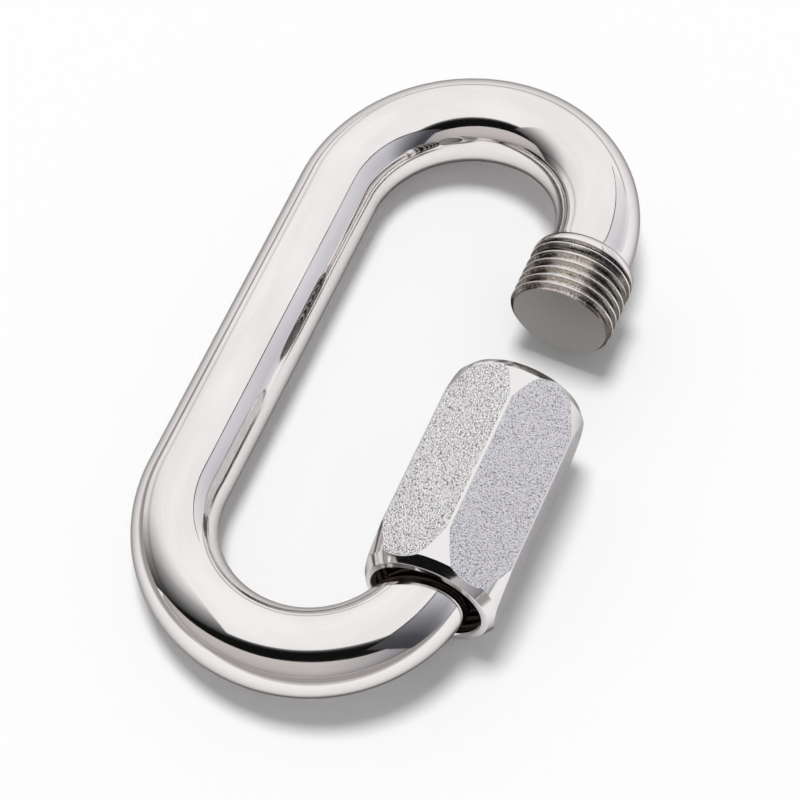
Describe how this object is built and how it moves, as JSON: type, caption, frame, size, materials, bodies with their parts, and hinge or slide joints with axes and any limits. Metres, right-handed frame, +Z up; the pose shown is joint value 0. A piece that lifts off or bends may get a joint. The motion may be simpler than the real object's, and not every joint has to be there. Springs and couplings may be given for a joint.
{
  "type": "chain quick link",
  "caption": "Oval quick link of bent round steel bar, open on one side, with a long hexagonal sleeve nut that runs along a threaded end and closes the gap.",
  "frame": {"origin": "on the surface that the link lies on, under the middle of its outline", "axes": "+Y along the link and along the nut's travel towards the closed position, +X from the solid side to the side with the nut, +Z up"},
  "size_m": [0.0352, 0.0688, 0.0142],
  "materials": {
    "polished_steel": "mirror-polished stainless bar; the thread is plain turned steel, darker in its grooves",
    "grained_steel": "fine-grained matt flats with polished tapers, ridges and rims"
  },
  "bodies": {
    "link": {"link_body": "polished_steel"},
    "nut": {"sleeve_nut": "grained_steel"}
  },
  "joints": [
    {"name": "nut_travel", "type": "slide", "parent": "link", "child": "nut", "axis": [0, 1, 0], "range_m": [0, 0.0139]}
  ]
}
